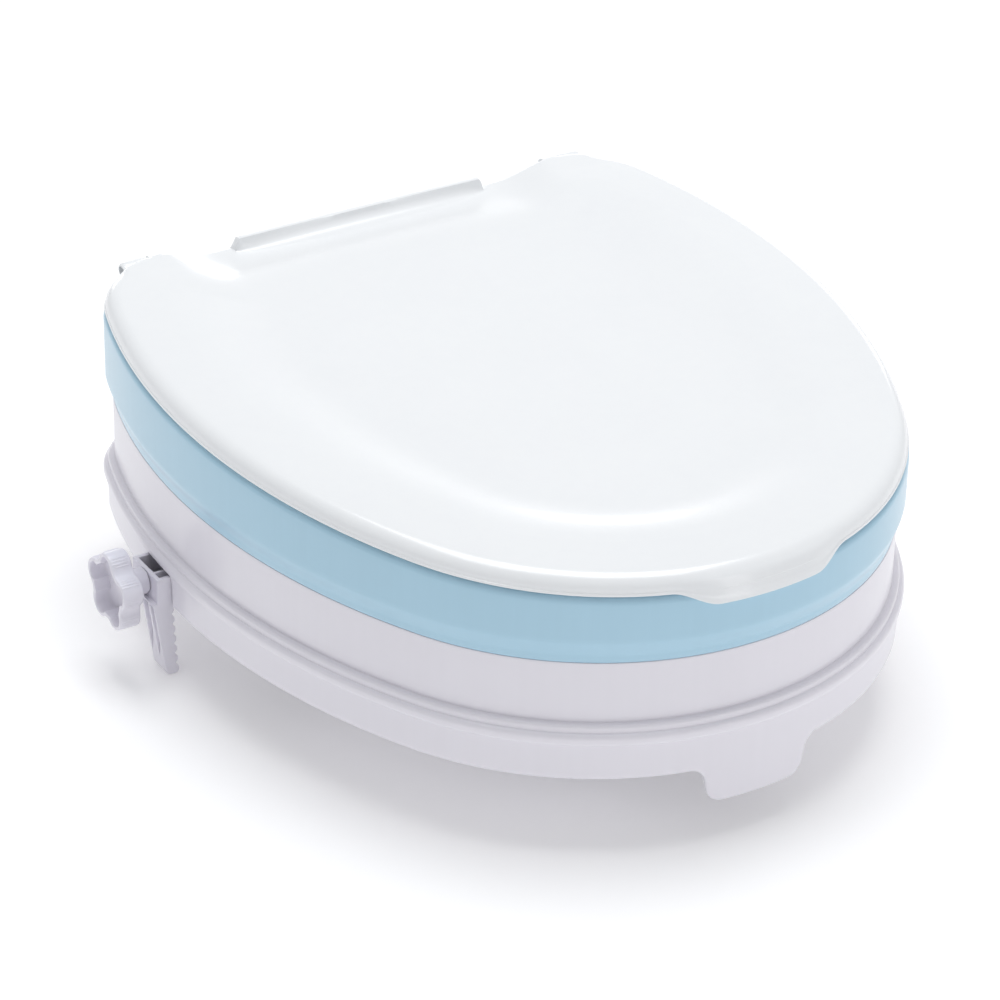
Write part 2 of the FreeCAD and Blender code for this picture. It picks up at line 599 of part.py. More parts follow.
def build_jaw():
    """The sliding jaw. Its own x runs inward from its outer wall, and its y from the arm's middle."""
    body = doc.addObject("PartDesign::Body", "Jaw")
    arm = rectangle("0", "jaw_length", "-jaw_half_width", "jaw_half_width")
    feature(body, "Pad", polygon(body_sketch(body, "XY_Plane", "jaw_bottom"), arm), "jaw_top - jaw_bottom")
    tabs = rectangle("tab_start", "jaw_length", "-jaw_half_width - tab_width", "jaw_half_width + tab_width")
    feature(body, "Pad", polygon(body_sketch(body, "XY_Plane", "tab_bottom"), tabs), "tab_height")
    room = "jaw_half_width - jaw_wall"
    floor = "jaw_bottom + jaw_floor"
    hollows = [rectangle("jaw_wall", "rib_length", f"-({room})", "rib_place"),
               rectangle("jaw_wall", "rib_length", "rib_place + jaw_rib", room),
               rectangle("rib_length", "jaw_length - jaw_wall", f"-({room})", room)]
    for hollow in hollows:
        profile = polygon(body_sketch(body, "XY_Plane", "jaw_top"), hollow)
        feature(body, "Pocket", profile, f"jaw_top - ({floor})")
    top_face, foot_face = "(leg_top - leg_step)", "(leg_lean + leg_foot - leg_step)"
    side = [("-leg_step", "jaw_bottom"), ("leg_lean - leg_step", "1.5"), ("leg_lean - leg_step + 1.5", "0"),
            (foot_face + " - 1", "0"), (foot_face, "1.5")]
    for number in range(1, size["tooth_count"] + 1):
        for rise, depth in (("-tooth_width / 2", "0"), ("0", "tooth_depth"), ("tooth_width / 2", "0")):
            height = f"({number} * tooth_pitch + {rise})"
            lean = f"{height} / jaw_bottom * ({foot_face} - {top_face})"
            side.append((f"{foot_face} - {lean} - {depth}", height))
    side += [(top_face, "jaw_bottom"), (top_face, "jaw_bottom + 1"),
             ("0", "jaw_bottom + 1"), ("0", "jaw_bottom")]
    leg = polygon(body_sketch(body, "XZ_Plane", "jaw_half_width"), side)
    feature(body, "Pad", leg, "leg_width", Reversed=True)
    uncut = body.Shape.Volume
    for low, high in (("1.2", "5.2"), ("7.2", "13")):
        strip = rectangle(f"{low} - jaw_half_width", f"{high} - jaw_half_width", "-1", "jaw_bottom - 1.5")
        groove = polygon(body_sketch(body, "YZ_Plane", "-leg_step - 1"), strip)
        feature(body, "Pocket", groove, "leg_step + 1 + groove_depth", Reversed=True)
    bore = circle(body_sketch(body, "YZ_Plane", "-1"), "screw_radius + gap", "0", "screw_height")
    feature(body, "Pocket", bore, "15", Reversed=True)
    if body.Shape.Volume > uncut - 500:      # mm3; the grooves take well over this
        raise RuntimeError("the jaw's grooves or bore were not cut")
    return move(body, "-jaw_reach", "clamp_back")


def build_knob():
    """The lobed cup and its hub. Its own z runs inward from its outer face."""
    body = doc.addObject("PartDesign::Body", "Knob")
    feature(body, "Pad", circle(body_sketch(body, "XY_Plane"), "knob_core"), "knob_depth")

    def around(name, original):
        pattern = body.newObject("PartDesign::PolarPattern", name)
        pattern.Originals = [original]
        pattern.Axis = (body_plane(body, "Z_Axis"), [""])
        pattern.Angle = 360
        bind(pattern, Occurrences="lobe_count")
        body.Tip = pattern
        doc.recompute()

    lobe_reach = "knob_radius - lobe_radius"
    lobe = circle(body_sketch(body, "XY_Plane"), "lobe_radius", "0", lobe_reach)
    around("Lobes", feature(body, "Pad", lobe, "knob_depth"))
    turn = "180 / lobe_count"
    valley = circle(body_sketch(body, "XY_Plane", "knob_depth + 1"), "valley_radius",
                    f"valley_reach * sin({turn})", f"valley_reach * cos({turn})")
    around("Valleys", feature(body, "Pocket", valley, "knob_depth + 2"))
    cup = circle(body_sketch(body, "XY_Plane", "-1"), "valley_reach - valley_radius - knob_wall")
    feature(body, "Pocket", cup, "knob_depth - knob_floor + 1", Reversed=True)
    lobe_room = circle(body_sketch(body, "XY_Plane", "-1"), "lobe_radius - knob_wall", "0", lobe_reach)
    around("LobeRooms", feature(body, "Pocket", lobe_room, "knob_depth - knob_floor + 1", Reversed=True))
    hub = circle(body_sketch(body, "XY_Plane", "knob_depth - 1"), "hub_radius")
    feature(body, "Pad", hub, "knob_face - jaw_reach - knob_depth - 0.4")
    body.Placement = FreeCAD.Placement(FreeCAD.Vector(), ALONG_X)
    whole = move(body, "-knob_face", "clamp_back", "screw_height")
    shank = rod("screw_radius + 0.02", "-jaw_reach - 12", "-jaw_reach + 5", "clamp_back", "screw_height")
    head = rod("5.02", "-jaw_reach - 8.02", "-jaw_reach - 3.98", "clamp_back", "screw_height")
    return cut(whole, shank, head)


def build_clamp_bolt():
    """The screw moulded into the knob: a round knurled head and a long shank."""
    shank = rod("screw_radius", "-jaw_reach - 11", "-jaw_reach + 45", "clamp_back", "screw_height")
    head = rod("5", "-jaw_reach - 8", "-jaw_reach - 4", "clamp_back", "screw_height")
    return fuse(shank, head)


def ring_on_bolt(radius, x_low, x_high):
    """A washer or clip on the clamp screw."""
    return cut(rod(radius, x_low, x_high, "clamp_back", "screw_height"),
               rod("screw_radius + running_gap", f"{x_low} - 1", f"{x_high} + 1",
                   "clamp_back", "screw_height"))


# ---- lid and hinge (the left-hand hinge is drawn) -------------------------------------------------

def lid_level(rise):
    return (f"seat_top + lid_gap + {rise}", "seat_slope")


def build_lid():
    shell = layer(plan_outline, "0", lid_level("0"), lid_level("lid_height"))
    rim_test = size["seat_top"] + size["lid_gap"] + size["lid_height"] - 1
    shell = rounded(shell, size["lid_rim_radius"], lambda p: p.z > rim_test + size["seat_slope"] * p.y)
    low = "(seat_top + lid_gap - plan_depth / 2 * seat_slope)"
    lip_shape = [("-lip_half_width", low), ("-lip_half_width + 14", low + " - lip_drop"),
                 ("lip_half_width - 14", low + " - lip_drop"), ("lip_half_width", low),
                 ("lip_half_width - 4", low + " + 5"), ("-lip_half_width + 4", low + " + 5")]
    lip = common(prism(plan_outline, "lip_grow", f"{low} - 10", f"{low} + 10"),
                 extrude(polygon(new_sketch(FACING_FRONT), lip_shape), REACH))
    lip_room = prism(plan_outline, "ring_grow + 0.7", f"{low} - 20", f"{low} + 1.5")
    hollow = layer(plan_outline, "-wall - 1", lid_level("-20"), lid_level("lid_height - lid_skin"))
    dish = bind(doc.addObject("Part::Sphere", "Dish"), Radius="dish_radius")
    move(dish, "0", "dish_back - dish_radius * seat_slope", "seat_top + lid_gap + lid_height"
         " + dish_back * seat_slope - dish_sink + dish_radius * (1 - seat_slope ^ 2 / 2)")
    solid_rear = box("-half_width - 10", "trough_back - trough_radius - 3", "seat_top - 30",
                     "2 * half_width + 20", "60", "80")
    hollow = cut(hollow, solid_rear)
    trough_low = HINGE_LID_LOW + " + strip_height"
    trough = rod("trough_radius", "-post_inner", "post_inner", "trough_back", trough_low + " + trough_radius")
    strip_room = box("-post_inner", "trough_back", trough_low, "2 * post_inner", "40", "40")
    behind = box("-half_width - 10", "hinge_back + 0.4", "seat_top - 20", "2 * half_width + 20", "40", "60")
    gap_low = box("-(post_inner + post_width + 0.9)", "hinge_back - post_radius - 1.2", "seat_top - 20",
                  "post_width + 1.8", "30", "60")
    upstand = box("-upstand_half_width", "upstand_front", HINGE_LID_LOW + " - 0.1",
                  "2 * upstand_half_width", "hinge_back + 0.4 - upstand_front", "upstand_rise + 0.1")
    plain = cut(fuse(shell, lip), hollow, lip_room, dish, trough, strip_room, behind,
                gap_low, mirrored(gap_low))
    knuckle = rod("knuckle_radius", "-knuckle_inner - knuckle_length", "-knuckle_inner",
                  "hinge_back", HINGE_Z)
    web = box("-knuckle_inner - knuckle_length", "hinge_back - 10", HINGE_Z + " - knuckle_radius + 2",
              "knuckle_length", "10", "2 * knuckle_radius - 2")
    knuckles = fuse(knuckle, web)
    bore = rod("pin_radius + running_gap", "-knuckle_inner - knuckle_length + 2", "-knuckle_inner + 1",
               "hinge_back", HINGE_Z)
    return cut(fuse(plain, upstand, knuckles, mirrored(knuckles)), bore, mirrored(bore))


def build_hinge_post():
    """An upright with a round top, on a foot that is screwed to the seat ring under the lid."""
    x = "-(post_inner + post_width)"
    upright = box(x, "hinge_back - post_radius", HINGE_FOOT_TOP + " - 0.1", "post_width", "2 * post_radius",
                  "hinge_rise + foot_sink + 0.1")
    foot = box(x, "hinge_back - foot_depth", HINGE_FOOT_TOP + " - foot_height", "foot_width",
               "foot_depth + post_radius", "foot_height")
    top = rod("post_radius", x, "-post_inner", "hinge_back", HINGE_Z)
    bore = rod("pin_radius + 0.02", x + " - 1", "-post_inner + 1", "hinge_back", HINGE_Z)
    holes = [cylinder("small_pilot_radius", "10", x, y, HINGE_FOOT_TOP + " - 5") for x, y in HINGE_SCREWS]
    sinks = [sunk_head("2 * small_pilot_radius", x, y) for x, y in HINGE_SCREWS]
    return cut(fuse(upright, foot, top), bore, *holes, *sinks)


def sunk_head(radius, x, y):
    """A countersunk head, or the room for one, flush with the top of the hinge post's foot."""
    cone = bind(doc.addObject("Part::Cone", "Cone"), Radius1="small_pilot_radius", Radius2=radius,
                Height="sink_depth")
    return move(cone, x, y, HINGE_FOOT_TOP + " - sink_depth")


def build_hinge_screws():
    shank = "small_pilot_radius - screw_play"
    return at_spots(HINGE_SCREWS, lambda x, y: fuse(
        sunk_head("2 * small_pilot_radius - 0.1", x, y),
        cylinder(shank, "9", x, y, HINGE_FOOT_TOP + " - sink_depth - 8.8")))


def build_lid_buffers():
    def one(x, y):
        low = f"seat_top + ({y}) * seat_slope + 0.7"
        return cylinder("6", "lid_height - lid_skin + lid_gap - 1", x, y, low)
    return at_spots(BUFFERS, one)


# ---- assembly -------------------------------------------------------------------------------------

keep("riser_body", build_riser_body())
keep("seat_ring", build_seat_ring())
keep("splash_collar", build_splash_collar())
keep("base_plate", build_base_plate())
keep("rest_pads", build_rest_pads())
plate_seat, ring_seat = PLATE_LOW + " - 0.05", "parting - wall - 1.8"
keep("base_plate_screws", group(screws(PLATE_SCREWS, plate_seat, "4", "pilot_radius", "18")))
keep("seat_ring_screws", group(screws(RING_SCREWS, ring_seat, "4", "pilot_radius", "20")))
keep("guide_screws", group(screws(GUIDE_SCREWS, plate_seat, "3.5", "small_pilot_radius", "7")))
pair("jaw_guide", build_jaw_guide)
pair("clamp_nut", build_clamp_nut)
pair("jaw", build_jaw)
pair("knob", build_knob)
pair("clamp_bolt", build_clamp_bolt)
pair("clamp_washer", lambda: ring_on_bolt("6.5", "-jaw_reach - 1.35", "-jaw_reach - 0.3"))
pair("bolt_clip", lambda: ring_on_bolt("4.6", "-jaw_reach + jaw_wall + 0.3", "-jaw_reach + jaw_wall + 1.5"))
keep("lid", build_lid())
keep("lid_buffers", group(build_lid_buffers()))
pair("hinge_post", build_hinge_post)
pair("hinge_pin", lambda: rod("pin_radius", "-knuckle_inner - knuckle_length + 2.6", "-post_inner - 1",
                              "hinge_back", HINGE_Z))
keep("hinge_screws", group(build_hinge_screws()))

doc.recompute()
for thing in doc.Objects:
    if "Invalid" in thing.State or "Error" in thing.State:
        raise RuntimeError(f"{thing.Name} ({thing.Label}) failed: {thing.State}")
os.makedirs("parts", exist_ok=True)
centred = FreeCAD.Placement(FreeCAD.Vector(0, size["plan_shift"], 0), LEVEL)
for name, thing in sub_parts.items():
    thing.Placement = centred * thing.Placement
    shape = thing.Shape
    if shape.isNull() or not shape.isValid():
        raise RuntimeError(name + " has no valid shape")
    shape.exportStep(f"parts/{name}.step")
    print(f"{name}: {len(shape.Solids)} solids, {shape.Volume / 1000:.1f} cm3")
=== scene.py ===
import math

import bmesh
import bpy
from mathutils import Matrix, Vector


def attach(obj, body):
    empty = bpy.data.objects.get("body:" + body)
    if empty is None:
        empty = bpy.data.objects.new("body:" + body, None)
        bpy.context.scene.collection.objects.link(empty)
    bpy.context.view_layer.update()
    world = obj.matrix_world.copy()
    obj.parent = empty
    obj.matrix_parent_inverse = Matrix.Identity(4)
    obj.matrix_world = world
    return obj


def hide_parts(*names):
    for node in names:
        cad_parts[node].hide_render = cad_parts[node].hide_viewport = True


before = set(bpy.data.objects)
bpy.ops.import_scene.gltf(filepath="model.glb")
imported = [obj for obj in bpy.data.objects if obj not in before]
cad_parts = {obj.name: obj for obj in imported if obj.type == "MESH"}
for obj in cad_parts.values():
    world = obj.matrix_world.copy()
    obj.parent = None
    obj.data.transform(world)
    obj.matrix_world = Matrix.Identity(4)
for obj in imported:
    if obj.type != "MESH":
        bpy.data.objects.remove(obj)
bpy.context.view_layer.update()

# ---- sizes, in millimetres, as in the CAD ---------------------------------------------------------

SHIFT = 0.35                                   # the outline's middle lies this far behind the origin
SEAT_TOP, SLOPE = 150.8, 0.0395                # seat ring's top at its middle, and its rise to the rear
LID_LOW = SEAT_TOP + 1
PARTING, PARTING_SLOPE = 106.1, 0.002          # joint between riser and seat ring
RIB_LOW, RIB_SLOPE = 60.7, -0.0025
SKIRT_LOW, LUG_LOW = 41.5, 21
LUG_HALF_LOW, LUG_HALF_TOP = 27, 31            # the lug's half width at its foot and at the skirt
CLAMP_Y, NOTCH_HALF, NOTCH_TOP = 74.2, 14.8, 60.2
HINGE_Y, HINGE_RISE = 195, 5.5                 # hinge axis, and its height above the seat ring
HINGE_Z = SEAT_TOP + HINGE_Y * SLOPE + HINGE_RISE
KNUCKLE = (127.4, 143.0)                       # the lid's knuckle, between these distances from the middle
PLATE_TOP = 44.7
PLATE_SCREWS = [(side * x, y) for x, y in ((40, -165), (121, -95), (128, 20), (92, 160)) for side in (-1, 1)]
SCREW_Z, KNOB_FACE = 52.3, 216.0               # clamp screw's axis, and the knob's outer face


def place(x, y, z):
    """A point about the outline's middle, in millimetres, as a point of the object's frame in metres."""
    return (x / 1000, (y + SHIFT) / 1000, z / 1000)


# ---- outlines -------------------------------------------------------------------------------------

def meeting(centre_a, reach_a, centre_b, reach_b):
    """The right-hand point at given distances from two centres."""
    line = centre_b - centre_a
    along = (reach_a ** 2 - reach_b ** 2 + line.length_squared) / (2 * line.length)
    across = math.sqrt(reach_a ** 2 - along ** 2)
    middle = centre_a + line * (along / line.length)
    step = Vector((-line.y, line.x)) * (across / line.length)
    return max((middle + step, middle - step), key=lambda p: p.x)


class Outline:
    """A symmetric loop of tangent arcs, given from the front middle to the rear middle on the right."""

    def __init__(self, circles):
        turns = [-math.pi / 2]
        for (c0, r0), (c1, r1) in zip(circles, circles[1:]):
            away = c0 - c1 if r1 > r0 else c1 - c0
            turns.append(math.atan2(away.y, away.x))
        turns.append(math.pi / 2)
        self.arcs = [(c, r, a, b) for (c, r), a, b in zip(circles, turns, turns[1:])]
        self.half = sum(r * (b - a) for _, r, a, b in self.arcs)

    def point(self, s, grow):
        """The point at arc length s from the front middle, on the outline offset outward by grow."""
        side, left = (1 if s >= 0 else -1), min(abs(s), self.half)
        for centre, radius, first, last in self.arcs:
            length = radius * (last - first)
            if left <= length or last > math.pi / 2 - 1e-9:
                angle = first + left / radius
                return (side * (centre.x + (radius + grow) * math.cos(angle)),
                        centre.y + (radius + grow) * math.sin(angle))
            left -= length

    def reach(self, y):
        """Arc length on the right-hand side at which the outline gets to y."""
        low, high = 0.0, self.half
        for _ in range(50):
            middle = (low + high) / 2
            low, high = (middle, high) if self.point(middle, 0)[1] < y else (low, middle)
        return low

    def reach_x(self, x):
        """Arc length at which the rear of the outline is at x."""
        low, high = self.reach(120), self.half
        for _ in range(50):
            middle = (low + high) / 2
            low, high = (middle, high) if self.point(middle, 0)[0] > x else (low, middle)
        return low


side_centre, side_radius = Vector((-182, 53.3)), 367
back_centre, back_radius = Vector((0, -1062)), 1265
corner_radius = 47
corner_centre = meeting(side_centre, side_radius - corner_radius, back_centre, back_radius - corner_radius)
plan = Outline([(Vector((0, -41)), 162), (side_centre, side_radius), (corner_centre, corner_radius),
                (back_centre, back_radius)])
hole = Outline([(Vector((0, -45)), 80), (Vector((-125, 37.9)), 230), (Vector((0, 45)), 104.8)])


def even_steps(spacing, half, extra=()):
    """Arc lengths once round an outline, the rear middle first, with extra ones on both sides."""
    count = 2 * round(half / spacing)
    steps = [-half + 2 * half * i / count for i in range(count)]
    wanted = [e for x in extra for e in (x, -x)]
    steps = [s for s in steps if all(abs(s - e) > 0.4 * spacing for e in wanted)]
    return sorted(steps + wanted)


def seat_z(y):
    return SEAT_TOP + SLOPE * y


def lid_z(y):
    return LID_LOW + SLOPE * y


def rib_z(y):
    return RIB_LOW + RIB_SLOPE * y


def parting_z(y):
    return PARTING + PARTING_SLOPE * y


def smooth(t):
    t = min(1.0, max(0.0, t))
    return t * t * (3 - 2 * t)


def mix(a, b, t):
    return a + (b - a) * t


def arc(centre, radius, first, last, steps):
    """Points (offset, height) on an arc, angles in degrees."""
    angles = [math.radians(first + (last - first) * i / steps) for i in range(steps + 1)]
    return [(centre[0] + radius * math.cos(a), centre[1] + radius * math.sin(a)) for a in angles]


# ---- meshes ---------------------------------------------------------------------------------------

def finish_mesh(bm, name, crease=38):
    """Welds, turns the faces outward, and smooths all but the edges sharper than crease degrees."""
    bmesh.ops.remove_doubles(bm, verts=bm.verts, dist=2e-6)
    bmesh.ops.dissolve_degenerate(bm, edges=bm.edges, dist=1e-6)
    bmesh.ops.recalc_face_normals(bm, faces=bm.faces)
    for face in bm.faces:
        face.smooth = True
    for edge in bm.edges:
        edge.smooth = len(edge.link_faces) == 2 and edge.calc_face_angle(0) < math.radians(crease)
    mesh = bpy.data.meshes.new(name)
    bm.to_mesh(mesh)
    bm.free()
    obj = bpy.data.objects.new(name, mesh)
    bpy.context.scene.collection.objects.link(obj)
    return obj


def add_skin(bm, rows, looped=True):
    """Faces through rows of points, each closed on itself. A looped skin joins the last row to the first."""
    grid = [[bm.verts.new(place(*p)) for p in row] for row in rows]
    count = len(grid[0])
    pairs = list(zip(grid, grid[1:])) + ([(grid[-1], grid[0])] if looped else [])
    for a, b in pairs:
        for i in range(count):
            k = (i + 1) % count
            bm.faces.new((a[i], a[k], b[k], b[i]))


def skin(name, rows, crease=38):
    bm = bmesh.new()
    add_skin(bm, rows)
    return finish_mesh(bm, name, crease)


def offset_row(outline, steps, grow, level, rise):
    """Points at the plan's arc lengths, on an outline offset by grow, at a rise above a sloping level."""
    row = []
    for s in steps:
        x, y = outline.point(s / plan.half * outline.half, grow)
        row.append((x, y, level(y) + rise))
    return row


def add_tube(bm, x, y, z_low, z_high, inner, outer):
    """An upright tube with slightly rounded ends."""
    profile = [(inner, z_low), (outer - 0.3, z_low), (outer, z_low + 0.3), (outer, z_high - 0.3),
               (outer - 0.3, z_high), (inner, z_high)]
    turns = [math.tau * i / 32 for i in range(32)]
    add_skin(bm, [[(x + r * math.cos(a), y + r * math.sin(a), z) for a in turns] for r, z in profile])


# ---- riser ----------------------------------------------------------------------------------------

def rounded_path(corners, spacing):
    """A line through (s, z) corners, each rounded by its own radius, sampled evenly."""
    points = [Vector(corners[0][:2])]
    for (s0, z0, _), (s1, z1, radius), (s2, z2, _) in zip(corners, corners[1:], corners[2:]):
        corner = Vector((s1, z1))
        into, out = (Vector((s0, z0)) - corner).normalized(), (Vector((s2, z2)) - corner).normalized()
        opening = into.angle(out)
        cut = radius / math.tan(opening / 2)
        centre = corner + (into + out).normalized() * (radius / math.sin(opening / 2))
        first, last = (corner + into * cut - centre).normalized(), (corner + out * cut - centre).normalized()
        points += [centre + first.slerp(last, i / 8) * radius for i in range(9)]
    points.append(Vector(corners[-1][:2]))
    path = []
    for a, b in zip(points, points[1:]):
        count = max(1, round((b - a).length / spacing))
        path += [a + (b - a) * i / count for i in range(count)]
    return path


def lower_edge():
    """The skirt's lower edge on the right, as (s on the edge, z, s where its column meets the rib)."""
    notch = [plan.reach(CLAMP_Y - NOTCH_HALF), plan.reach(CLAMP_Y + NOTCH_HALF)]
    corners = [(0, LUG_LOW, 0), (LUG_HALF_LOW, LUG_LOW, 9), (LUG_HALF_TOP, SKIRT_LOW, 8),
               (notch[0], SKIRT_LOW, 1.5),
               (notch[0], NOTCH_TOP, 1.5), (notch[1], NOTCH_TOP, 1.5), (notch[1], SKIRT_LOW, 1.5),
               (plan.half, SKIRT_LOW, 0)]
    path = rounded_path(corners, 2.2)
    spread = 16                                    # columns beside the lug and the notch fan out over this
    edges = [0, LUG_HALF_TOP + spread, notch[0] - spread, notch[1] + spread, plan.half + 1]
    result = []
    for low, high in zip(edges, edges[1:]):
        part = [p for p in path if low <= p.x < high]
        run = [0.0]
        for a, b in zip(part, part[1:]):
            run.append(run[-1] + (b - a).length)
        last_s = part[-1].x
        for p, r in zip(part, run):
            result.append((p.x, p.y, part[0].x + r / run[-1] * (last_s - part[0].x)))
    return result


def make_riser():
    """Wall, rib, bead, skirt and lug in one skin, with the deck round the aperture and the screw bosses."""
    right = lower_edge()
    columns = [(-s, z, -t) for s, z, t in reversed(right[1:])] + right
    columns.append((plan.half, SKIRT_LOW, plan.half))
    ways = []
    count = len(columns)
    for i in range(count):
        a, b = columns[max(0, i - 1)], columns[min(count - 1, i + 1)]
        way = Vector((b[0] - a[0], b[1] - a[1])).normalized()
        ways.append((-way.y, way.x))

    def edge_row(inset, grow):
        """A row along the lower edge, moved into the wall by inset."""
        row = []
        for (s, z, _), (ns, nz) in zip(columns, ways):
            x, y = plan.point(s + ns * inset, grow)
            row.append((x, y, z + nz * inset))
        return row

    def wall_row(share, grow):
        """A row between the lower edge and the rib's underside."""
        row = []
        for (s, z, t), (ns, nz) in zip(columns, ways):
            foot_s, foot_z = s + 1.2 * ns, z + 1.2 * nz
            x, y = plan.point(mix(foot_s, t, share), grow)
            row.append((x, y, mix(foot_z, rib_z(y) + 0.05, share)))
        return row

    def level_row(grow, level, rise):
        return offset_row(plan, [t for _, _, t in columns], grow, level, rise)

    shares = [0, 0.12, 0.25, 0.4, 0.55, 0.7, 0.85, 1]
    rows = [edge_row(0, -1.2), edge_row(0, -0.1), edge_row(0.35, 0.68), *(wall_row(f, 1) for f in shares)]
    rib = arc((0.36, 2.94), 2.94, -77, 0, 7) + arc((0.36, 4.06), 2.94, 0, 84, 8)
    bead = [(0.6, 7.25), (0.6, 8.6)] + arc((-1.4, 9), 2, 0, 90, 6) + [(-2.7, 11), (-3, 11.2)]
    rows += [level_row(g, rib_z, h) for g, h in rib + bead]
    rows += [level_row(-3, rib_z, 11.2 + 30 * f) for f in (0.15, 0.5, 0.85)]
    rows += [level_row(g, parting_z, h) for g, h in
             [(-3, -1.5), (-3, -0.6), (-3.15, -0.15), (-3.6, 0), (-6, 0), (-6, -1.5)]]
    rows += [level_row(-6, rib_z, 20), level_row(-6, rib_z, 0.6), level_row(-2, rib_z, 0.05)]
    rows += [wall_row(f, -2) for f in (0.6, 0.3, 0)] + [edge_row(0.35, -1.68)]
    bm = bmesh.new()
    add_skin(bm, [row[:-1] for row in rows])
    steps = even_steps(4, plan.half)
    add_skin(bm, [offset_row(outline, steps, grow, parting_z, rise) for outline, grow, rise in
                  ((plan, -5.5, -0.1), (hole, 3.6, -0.1), (hole, 3.6, -3), (plan, -5.5, -3))])
    for x, y in PLATE_SCREWS:
        add_tube(bm, x, y, PLATE_TOP, PARTING - 2.5, 2, 5.5)
    return finish_mesh(bm, "riser_shell")


# ---- seat ring ------------------------------------------------------------------------------------

def make_ring():
    """The seat ring: outer wall, rounded edges, slightly hollowed top, aperture wall and open underside."""
    steps = even_steps(2.5, plan.half)

    def outer(grow, level, rise):
        return offset_row(plan, steps, grow, level, rise)

    def inner(grow, level, rise):
        return offset_row(hole, steps, grow, level, rise)

    def across(share, rise):
        """A row on the top, part of the way from the outer edge to the aperture's."""
        row = []
        for s in steps:
            xo, yo = plan.point(s, -3.4)
            xi, yi = hole.point(s / plan.half * hole.half, 3.2)
            x, y = mix(xo, xi, share), mix(yo, yi, share)
            row.append((x, y, seat_z(y) + rise))
        return row

    rows = [outer(g, parting_z, h) for g, h in [(-7, 0.12), (-3.7, 0.12), (-3.2, 0.3), (-3, 0.8), (-3, 3.2)]]
    for i in range(1, 11):
        share = i / 10
        rows.append(outer(-3 + 3.6 * mix(share, smooth(share), 0.6), parting_z, 3.2 + 10.6 * share))
    rows += [outer(0.6, parting_z, h) for h in (16, 22, 27)]
    rows += [outer(g, seat_z, h) for g, h in [(0.6, -8)] + arc((-3.4, -4), 4, 0, 90, 8)]
    rows += [across(f, -0.9 * math.sin(math.pi * f)) for f in (0.08, 0.2, 0.35, 0.5, 0.65, 0.8, 0.92)]
    rows += [inner(g, seat_z, h) for g, h in arc((3.2, -3.2), 3.2, 90, 180, 7)]
    rows += [inner(0, seat_z, h) for h in (-9, -20, -32)]
    rows += [inner(g, parting_z, h) for g, h in [(0, 3.6), (0.4, 3.2), (4, 3.2)]]
    rows += [inner(4, seat_z, -8), outer(-4.2, seat_z, -8)]
    rows += [outer(-4.2, parting_z, 15), outer(-7, parting_z, 5)]
    return skin("seat_ring_shell", rows)


# ---- lid ------------------------------------------------------------------------------------------

POST_GAP = (118.3, 127.5)          # each hinge post stands in a gap between these distances from the middle
GAP_EDGE, LID_EDGE = 188.6, 195.4  # rear edge of the lid in those gaps, and elsewhere along its foot
HOOD, HOOD_EDGE = 9.3, 195         # height and rear edge of the skin that covers a hinge post
LID_TOP = 10                       # height of the lid's border
CORNER_TOP = 9.8                   # its height over the hinges
DISH_DEPTH, DISH_EDGE, DISH_SLOPE = 5.2, 30, 47    # the inset where it starts, and the width of its slope
SCOOP_START, SCOOP_END, SCOOP_FLOOR = 118, 186, 2.6
UPSTAND_HALF, UPSTAND_RISE, UPSTAND_BACK, UPSTAND_END = 75.5, 9.4, 189.8, 2.4
RIM_FOOT, RIM_RADIUS = 1.9, 8      # height of the small step under the rim's rounding, and that rounding
LIP_HALF, LIP_FADE, LIP_FLARE, LIP_DROP = 51, 24, 3.9, 6.6
REAR = 150                         # the rim behind this is the lid's rear edge


def in_gap(x):
    return POST_GAP[0] < abs(x) < POST_GAP[1]


def rear_edge(x, height):
    """Where the lid ends behind at x, at a height above its lower edge."""
    if in_gap(x):
        return GAP_EDGE if height < HOOD else HOOD_EDGE
    if abs(x) < POST_GAP[0]:
        return LID_EDGE
    return mix(LID_EDGE, plan.point(plan.half, 0)[1], smooth((height - 1) / 3))


def drawn_in(y, outline_y, edge):
    """Moves y forward so that the outline's rear edge comes to the lid's own edge."""
    start = 181                    # nothing in front of this moves
    if y <= start or outline_y <= edge:
        return y
    return start + (y - start) * (edge - start) / (outline_y - start)


def lid_height(x, y, inset):
    """Height of the lid's top above its lower edge: raised border, flat dish, scoop and upstand behind."""
    border = LID_TOP - 0.7 * min(1, max(0, 34 - inset) / 28) ** 2
    height = border - DISH_DEPTH * smooth((inset - DISH_EDGE) / DISH_SLOPE) ** 1.3
    corner = smooth((abs(x) - 110) / 7) * (1 - smooth((abs(x) - KNUCKLE[1]) / 8)) * smooth((y - 172) / 10)
    height = mix(height, CORNER_TOP, corner)
    if abs(x) < 119 and y > SCOOP_START:
        depth = 2 + 8 * max(0, 1 - (x / UPSTAND_HALF) ** 2) ** 0.6
        foot = UPSTAND_BACK - depth
        fall = smooth((y - SCOOP_START) / (SCOOP_END - SCOOP_START))
        scoop = height - (height - SCOOP_FLOOR) * fall
        if abs(x) < UPSTAND_HALF + UPSTAND_END and y > foot:
            into = min(1, (y - foot) / depth)
            lift = scoop + (UPSTAND_RISE - scoop) * (1 - math.sqrt(1 - into * into))
            scoop = mix(lift, scoop, smooth((abs(x) - UPSTAND_HALF) / UPSTAND_END))
        height = mix(scoop, height, smooth((abs(x) - 82) / 37) ** 1.4)
    return height


def under_height(x, y, inset):
    """Height of the lid's underside: hollow, and solid along the rear."""
    return 4.3 * (1 - smooth((y - 148) / 14)) - 1.9 * smooth((inset - 50) / 28)


